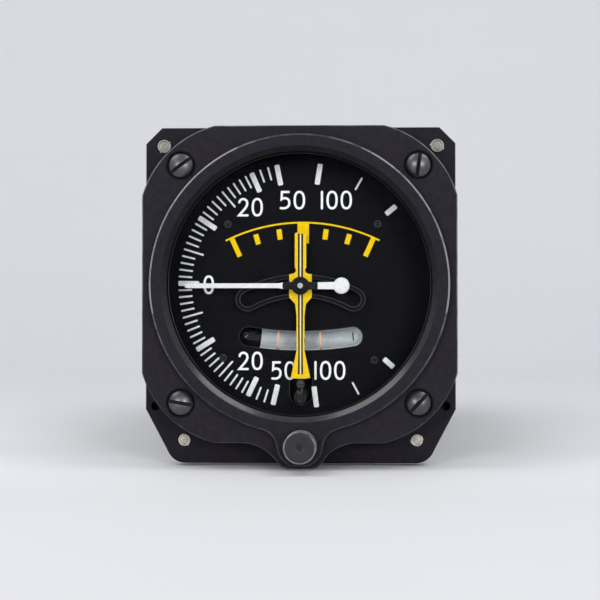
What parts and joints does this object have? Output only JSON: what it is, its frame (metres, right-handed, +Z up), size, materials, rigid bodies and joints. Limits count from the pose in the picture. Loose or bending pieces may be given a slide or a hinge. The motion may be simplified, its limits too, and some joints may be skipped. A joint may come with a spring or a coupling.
{
  "type": "combined flight instrument",
  "caption": "Panel instrument showing rate of climb, rate of turn and slip behind one round glass, in a deep round case with a flange, bezel and zero-setting knob.",
  "frame": {"origin": "on the case axis, on the rear face of the mounting flange, where the panel bears", "axes": "+Y along the case axis towards the rear connector, so the face looks along -Y; +X to the viewer's right; +Z up"},
  "size_m": [0.0864, 0.17, 0.0939],
  "materials": {
    "case_paint": "satin black enamel, slightly warm",
    "bezel_paint": "matt black enamel, edges worn bright",
    "bush_metal": "bare, slightly yellow",
    "rubber": "matt",
    "screw_steel": "blackened, domed heads polished by use",
    "black_screw": "black",
    "glass": "clear flat glass",
    "ring_paint": "matt black",
    "dial_face": "deep matt black",
    "brass": "turned",
    "tube_glass": "clear, liquid filled",
    "white_enamel": "matt white",
    "index_wire": "orange",
    "ball_steel": "black",
    "steel": "ground",
    "bronze": "bearing bronze",
    "spring_steel": "blued spring wire",
    "capsule_bronze": "corrugated diaphragm bronze",
    "aluminium": "milled",
    "copper": "drawn copper pipe",
    "yellow_enamel": "matt yellow",
    "stator": "varnished winding",
    "rotor_brass": "turned and balanced",
    "connector_metal": "dull plated",
    "insulator": "brown moulding",
    "pin_metal": "silver-plated brass",
    "nipple_metal": "nickel-plated",
    "knob_black": "black, rim worn bright"
  },
  "bodies": {
    "case": {"mounting_flange": "case_paint", "flange_bushes": "bush_metal", "case_tube": "case_paint", "bezel": "bezel_paint", "bezel_gasket": "rubber", "bezel_screws": "screw_steel", "glass": "glass", "glass_gasket": "rubber", "retaining_ring": "ring_paint", "dial": "dial_face", "dial_posts": "brass", "dial_screws": "black_screw", "slip_tube": "tube_glass", "slip_backing": "white_enamel", "index_wires": "index_wire", "front_plate": "brass", "middle_plate": "brass", "movement_pillars": "brass", "pivot_bushes": "bronze", "hairspring": "spring_steel", "capsule": "capsule_bronze", "capsule_bracket": "aluminium", "capillary_leak": "steel", "static_pipe": "copper", "bulkhead": "aluminium", "spring_post": "steel", "rear_plate": "aluminium", "tie_rods": "steel", "gimbal_bearings": "steel", "centring_spring": "spring_steel", "damper_cylinder": "aluminium", "rear_cover": "case_paint", "rear_cover_screws": "screw_steel", "rear_seal": "rubber", "connector_shell": "connector_metal", "connector_insert": "insulator", "connector_pins": "pin_metal", "static_nipple": "nipple_metal", "knob_seal": "rubber"},
    "climb_pointer": {"climb_pointer": "white_enamel", "climb_shaft": "steel"},
    "rocking_arbor": {"sector_gear": "brass", "rocking_arbor": "steel"},
    "capsule_stem": {"capsule_stem": "steel"},
    "turn_pointer": {"turn_pointer": "yellow_enamel", "turn_staff": "steel", "turn_fork": "steel"},
    "gimbal": {"gimbal_frame": "aluminium", "gimbal_pivots": "steel", "rotor_bearings": "steel", "motor_stator": "stator"},
    "rotor": {"gyro_rotor": "rotor_brass", "rotor_axle": "steel"},
    "damper_piston": {"damper_piston": "brass"},
    "slip_ball": {"slip_ball": "ball_steel"},
    "knob": {"zero_knob": "knob_black", "knob_shaft": "steel"},
    "zero_rack": {"zero_rack": "steel"}
  },
  "joints": [
    {"name": "sector_rock", "type": "hinge", "parent": "case", "child": "rocking_arbor", "pos_m": [0.0192, 0.01, -0.0003], "axis": [0, 1, 0], "range_deg": [-20.6, 20.6], "stiffness_Nm_per_rad": 0.2},
    {"name": "climb_pointer_turn", "type": "hinge", "parent": "case", "child": "climb_pointer", "pos_m": [0, 0, -0.0003], "axis": [0, 1, 0], "range_deg": [-144, 144]},
    {"name": "capsule_slide", "type": "slide", "parent": "case", "child": "capsule_stem", "axis": [0, 0, 1], "range_m": [-0.00176, 0.00176], "deforming": ["capsule"]},
    {"name": "gimbal_tilt", "type": "hinge", "parent": "case", "child": "gimbal", "pos_m": [0, 0.08, 0], "axis": [0, 1, 0], "range_deg": [-13.5, 13.5], "stiffness_Nm_per_rad": 0.3, "deforming": ["centring_spring"]},
    {"name": "turn_pointer_turn", "type": "hinge", "parent": "case", "child": "turn_pointer", "pos_m": [0, 0, -0.0312], "axis": [0, 1, 0], "range_deg": [-25, 25]},
    {"name": "rotor_spin", "type": "hinge", "parent": "gimbal", "child": "rotor", "pos_m": [0, 0.08, 0], "axis": [1, 0, 0], "continuous": true},
    {"name": "damper_slide", "type": "slide", "parent": "case", "child": "damper_piston", "axis": [1, 0, 0], "range_m": [-0.00472, 0.00472]},
    {"name": "slip_ball_roll", "type": "hinge", "parent": "case", "child": "slip_ball", "pos_m": [0, 0.0006, 0.0765], "axis": [0, 1, 0], "range_deg": [-8.2, 8.2]},
    {"name": "knob_turn", "type": "hinge", "parent": "case", "child": "knob", "pos_m": [0.0005, -0.02, -0.0442], "axis": [0, 1, 0], "range_deg": [-29.4, 29.4]},
    {"name": "rack_slide", "type": "slide", "parent": "case", "child": "zero_rack", "axis": [0, 0, 1], "range_m": [-0.001, 0.001]}
  ],
  "couplings": [
    {"joint": "sector_rock", "follows": "capsule_slide", "rad_per_m": 200},
    {"joint": "climb_pointer_turn", "follows": "capsule_slide", "rad_per_m": -1400},
    {"joint": "turn_pointer_turn", "follows": "gimbal_tilt", "ratio": -1.85},
    {"joint": "damper_slide", "follows": "gimbal_tilt", "m_per_rad": 0.02},
    {"joint": "knob_turn", "follows": "rack_slide", "rad_per_m": -500}
  ]
}
